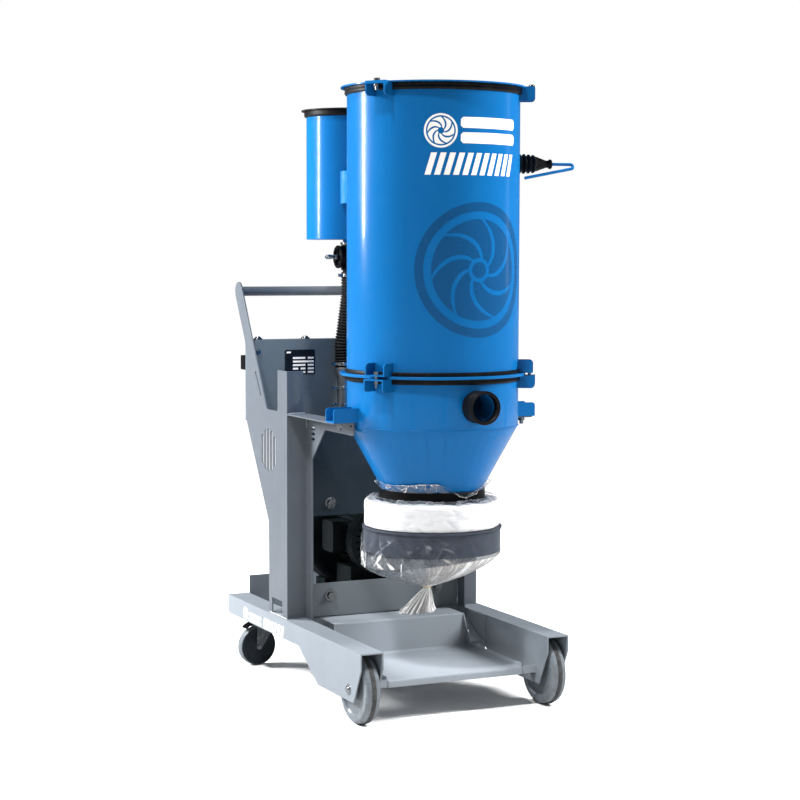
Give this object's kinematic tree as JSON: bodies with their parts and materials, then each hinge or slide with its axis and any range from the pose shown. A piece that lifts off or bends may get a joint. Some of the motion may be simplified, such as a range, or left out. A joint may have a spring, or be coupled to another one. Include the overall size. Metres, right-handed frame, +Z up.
{
  "type": "dust collector",
  "caption": "Mobile industrial dust collector: tall steel drum and cone on a wheeled cart, second filter, relief valve, side-channel blower, cabinet, push handle and collecting bag.",
  "frame": {"origin": "on the floor under the centre of the whole machine's bounding box", "axes": "+Z up; -Y is the front, where the inlet cuff points; +X is the machine's side with the cleaning lever"},
  "size_m": [0.7529, 1.128, 1.797],
  "materials": {
    "cart_paint": "semi-gloss",
    "cabinet_paint": "semi-gloss",
    "blue_paint": "gloss",
    "zinc": "zinc plated",
    "black_rubber": "matte",
    "grey_tyre": "matte",
    "black_plastic": "matte",
    "pipe_steel": "brushed",
    "motor_black": "satin",
    "clear_film": "thin film",
    "tie_plastic": "gloss",
    "plate_foil": "satin",
    "filter_media": "felted"
  },
  "bodies": {
    "machine": {"left_rail": "cart_paint", "right_rail": "cart_paint", "tray": "cart_paint", "tray_brackets": "cart_paint", "left_upright": "cart_paint", "right_upright": "cart_paint", "left_arm": "cart_paint", "right_arm": "cart_paint", "handle_tube": "cart_paint", "motor_deck": "cart_paint", "front_panel": "cabinet_paint", "cabinet_shell": "cabinet_paint", "drum_shell": "blue_paint", "drum_lid": "blue_paint", "hopper": "blue_paint", "filter_plate": "blue_paint", "clamp_brackets": "blue_paint", "drum_feet": "blue_paint", "inlet_stub": "blue_paint", "hepa_shell": "blue_paint", "hepa_lid": "blue_paint", "clean_duct": "blue_paint", "frame_bolts": "zinc", "axle_bolts": "zinc", "drum_bolts": "zinc", "door_hinges": "zinc", "caster_plates": "zinc", "hose_clamps": "zinc", "valve_spring": "zinc", "gaskets": "black_rubber", "inlet_cuff": "black_rubber", "lever_boot": "black_rubber", "hose": "black_rubber", "valve_body": "black_plastic", "neck_band": "black_plastic", "cassette_ring": "black_plastic", "suction_pipe": "pipe_steel", "blower_housing": "motor_black", "motor_body": "motor_black", "bag_film": "clear_film", "bag_pack": "clear_film", "bag_tie": "tie_plastic", "data_plate": "plate_foil", "main_filter": "filter_media", "hepa_filter": "filter_media"},
    "left_front_wheel": {"left_front_wheel": "grey_tyre"},
    "right_front_wheel": {"right_front_wheel": "grey_tyre"},
    "left_swivel": {"left_caster_fork": "zinc"},
    "right_swivel": {"right_caster_fork": "zinc"},
    "left_rear_wheel": {"left_caster_wheel": "grey_tyre"},
    "right_rear_wheel": {"right_caster_wheel": "grey_tyre"},
    "left_brake": {"left_caster_brake": "black_plastic"},
    "right_brake": {"right_caster_brake": "black_plastic"},
    "door": {"cabinet_door": "cabinet_paint"},
    "latch": {"door_latch": "black_plastic"},
    "switch": {"main_switch": "black_plastic"},
    "lever": {"pulse_lever": "blue_paint"},
    "rotor": {"rotor": "motor_black"},
    "relief_poppet": {"valve_poppet": "zinc"}
  },
  "joints": [
    {"name": "left_front_wheel_spin", "type": "hinge", "parent": "machine", "child": "left_front_wheel", "pos_m": [-0.3331, -0.4015, 0.1], "axis": [1, 0, 0], "continuous": true},
    {"name": "left_caster_swivel", "type": "hinge", "parent": "machine", "child": "left_swivel", "pos_m": [-0.2781, 0.454, 0.14], "axis": [0, 0, 1], "continuous": true},
    {"name": "left_caster_spin", "type": "hinge", "parent": "left_swivel", "child": "left_rear_wheel", "pos_m": [-0.3139, 0.45024, 0.0625], "axis": [0.1045, -0.9945, 0], "continuous": true},
    {"name": "left_brake_pedal", "type": "hinge", "parent": "left_swivel", "child": "left_brake", "pos_m": [-0.33081, 0.44846, 0.1332], "axis": [0.1045, -0.9945, 0], "range_deg": [0, 15]},
    {"name": "right_front_wheel_spin", "type": "hinge", "parent": "machine", "child": "right_front_wheel", "pos_m": [0.2569, -0.4015, 0.1], "axis": [1, 0, 0], "continuous": true},
    {"name": "right_caster_swivel", "type": "hinge", "parent": "machine", "child": "right_swivel", "pos_m": [0.2019, 0.454, 0.14], "axis": [0, 0, 1], "continuous": true},
    {"name": "right_caster_spin", "type": "hinge", "parent": "right_swivel", "child": "right_rear_wheel", "pos_m": [0.17072, 0.472, 0.0625], "axis": [-0.5, -0.866, 0], "continuous": true},
    {"name": "right_brake_pedal", "type": "hinge", "parent": "right_swivel", "child": "right_brake", "pos_m": [0.156, 0.4805, 0.1332], "axis": [-0.5, -0.866, 0], "range_deg": [0, 15]},
    {"name": "door_swing", "type": "hinge", "parent": "machine", "child": "door", "pos_m": [0.2779, 0.4525, 0.915], "axis": [0, 0, -1], "range_deg": [0, 110]},
    {"name": "latch_turn", "type": "hinge", "parent": "door", "child": "latch", "pos_m": [-0.3401, 0.448, 0.969], "axis": [0, 1, 0], "range_deg": [0, 90]},
    {"name": "main_switch_turn", "type": "hinge", "parent": "door", "child": "switch", "pos_m": [0.1119, 0.448, 0.93], "axis": [0, 1, 0], "range_deg": [0, 90]},
    {"name": "pulse_lever_swing", "type": "hinge", "parent": "machine", "child": "lever", "pos_m": [0.20546, -0.30727, 1.576], "axis": [-0.2079, -0.9781, 0], "range_deg": [-12, 12], "stiffness_Nm_per_rad": 12, "deforming": ["lever_boot"]},
    {"name": "rotor_spin", "type": "hinge", "parent": "machine", "child": "rotor", "pos_m": [-0.0381, 0.33, 0.43], "axis": [0, 1, 0], "continuous": true},
    {"name": "relief_valve_lift", "type": "slide", "parent": "machine", "child": "relief_poppet", "axis": [1, 0, 0], "range_m": [0, 0.008], "stiffness_N_per_m": 900, "springref_m": -0.01, "deforming": ["valve_spring"]}
  ]
}
